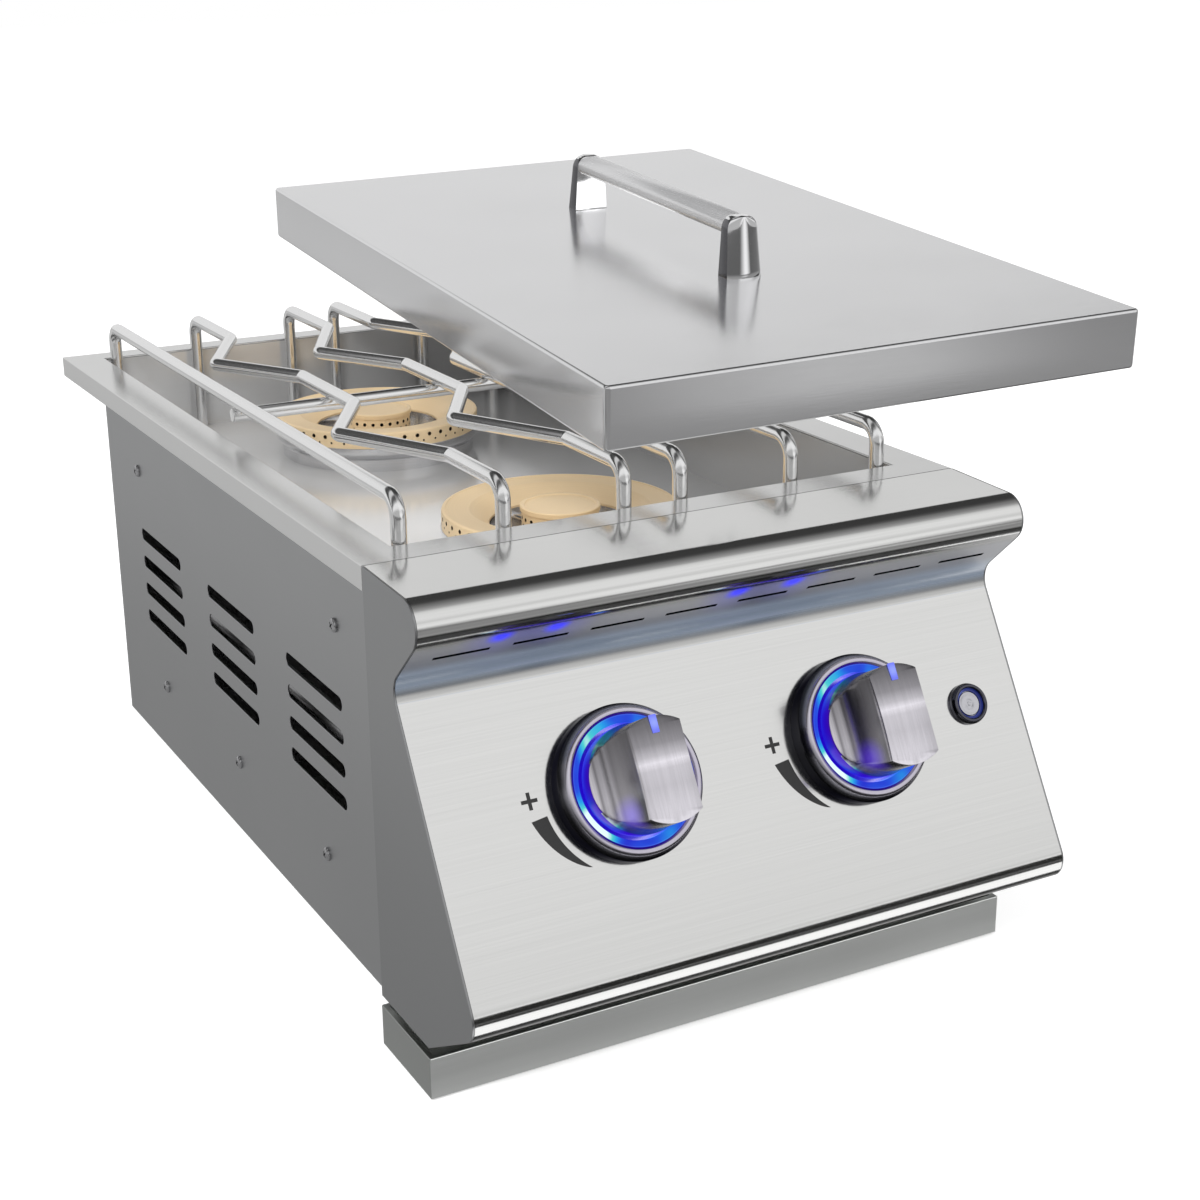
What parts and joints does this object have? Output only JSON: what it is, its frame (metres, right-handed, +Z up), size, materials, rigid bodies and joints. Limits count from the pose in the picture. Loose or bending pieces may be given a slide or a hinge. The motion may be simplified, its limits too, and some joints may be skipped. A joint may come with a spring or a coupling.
{
  "type": "double side burner",
  "caption": "Drop-in twin gas burner with brass rings, wire grate, lift-off lid, lit knobs and igniter on a sloping nose panel, and pull-out drip tray.",
  "frame": {"origin": "centre of the underside of the body, on the floor it stands on", "axes": "+X to the user's right, +Y to the rear, +Z up; the control panel faces -Y"},
  "size_m": [0.4652, 0.6427, 0.3871],
  "materials": {
    "rim_steel": "satin",
    "body_steel": "matt satin",
    "tray_steel": "satin",
    "panel_steel": "brushed, grain left to right",
    "cheek_steel": "satin",
    "screw_steel": "satin",
    "cup_steel": "polished lip",
    "burner_brass": "satin, machined",
    "ceramic": "glazed ceramic",
    "pipe_steel": "satin",
    "valve_brass": "satin",
    "stem_steel": "turned",
    "bezel_chrome": "polished",
    "lit_plastic": "lit blue",
    "knob_metal": "turned and brushed",
    "pointer_lens": "lit blue-violet",
    "igniter_plastic": "matt",
    "rod_steel": "polished",
    "lid_steel": "brushed, grain left to right",
    "handle_steel": "polished",
    "handle_chrome": "mirror polished",
    "drip_steel": "satin"
  },
  "bodies": {
    "burner_body": {"rim_frame": "rim_steel", "left_side_panel": "body_steel", "right_side_panel": "body_steel", "rear_panel": "body_steel", "front_wall": "body_steel", "bottom_pan": "body_steel", "burner_tray": "tray_steel", "control_panel": "panel_steel", "left_cheek": "cheek_steel", "right_cheek": "cheek_steel", "panel_brackets": "body_steel", "side_panel_screws": "screw_steel", "front_burner_cup": "cup_steel", "front_burner_ring": "burner_brass", "front_burner_cap": "burner_brass", "front_mixer_tube": "cup_steel", "rear_burner_cup": "cup_steel", "rear_burner_ring": "burner_brass", "rear_burner_cap": "burner_brass", "rear_mixer_tube": "cup_steel", "front_electrode": "ceramic", "rear_electrode": "ceramic", "manifold_pipe": "pipe_steel", "supply_pipe": "pipe_steel", "gas_inlet_fitting": "valve_brass", "left_valve_body": "valve_brass", "right_valve_body": "valve_brass", "left_bezel": "bezel_chrome", "right_bezel": "bezel_chrome", "left_lit_ring": "lit_plastic", "right_lit_ring": "lit_plastic", "button_bezel": "bezel_chrome", "button_lit_ring": "lit_plastic", "igniter_module": "igniter_plastic", "drip_tray_runners": "body_steel"},
    "left_stem": {"left_valve_stem": "stem_steel"},
    "right_stem": {"right_valve_stem": "stem_steel"},
    "left_control": {"left_knob": "knob_metal", "left_pointer": "pointer_lens"},
    "right_control": {"right_knob": "knob_metal", "right_pointer": "pointer_lens"},
    "button": {"igniter_button": "knob_metal"},
    "grate": {"grate_rod_1": "rod_steel", "grate_rod_2": "rod_steel", "grate_rod_3": "rod_steel", "grate_rod_4": "rod_steel", "grate_rod_5": "rod_steel", "grate_rod_6": "rod_steel", "grate_crossbar": "rod_steel"},
    "lid": {"lid_pan": "lid_steel", "lid_handle_bar": "handle_steel", "lid_handle_front_post": "handle_chrome", "lid_handle_rear_post": "handle_chrome", "lid_handle_screws": "screw_steel"},
    "drip_tray": {"drip_tray_front": "drip_steel", "drip_tray_pan": "drip_steel"}
  },
  "joints": [
    {"name": "left_knob_push", "type": "slide", "parent": "burner_body", "child": "left_stem", "axis": [0, 0.8625, -0.506], "range_m": [0, 0.003], "stiffness_N_per_m": 1500, "springref_m": -0.002},
    {"name": "left_knob_turn", "type": "hinge", "parent": "left_stem", "child": "left_control", "pos_m": [-0.067, -0.32854, 0.14451], "axis": [0, -0.8625, 0.506], "range_deg": [0, 145]},
    {"name": "right_knob_push", "type": "slide", "parent": "burner_body", "child": "right_stem", "axis": [0, 0.8625, -0.506], "range_m": [0, 0.003], "stiffness_N_per_m": 1500, "springref_m": -0.002},
    {"name": "right_knob_turn", "type": "hinge", "parent": "right_stem", "child": "right_control", "pos_m": [0.067, -0.32854, 0.14451], "axis": [0, -0.8625, 0.506], "range_deg": [0, 145]},
    {"name": "igniter_button_press", "type": "slide", "parent": "burner_body", "child": "button", "axis": [0, 0.8625, -0.506], "range_m": [0, 0.0025], "stiffness_N_per_m": 800, "springref_m": -0.002},
    {"name": "grate_lift", "type": "slide", "parent": "burner_body", "child": "grate", "axis": [0, 0, 1], "range_m": [0, 0.012]},
    {"name": "lid_lift", "type": "slide", "parent": "burner_body", "child": "lid", "axis": [0, 0, 1], "range_m": [0, 0.15]},
    {"name": "drip_tray_slide", "type": "slide", "parent": "burner_body", "child": "drip_tray", "axis": [0, -1, 0], "range_m": [0, 0.26]}
  ]
}
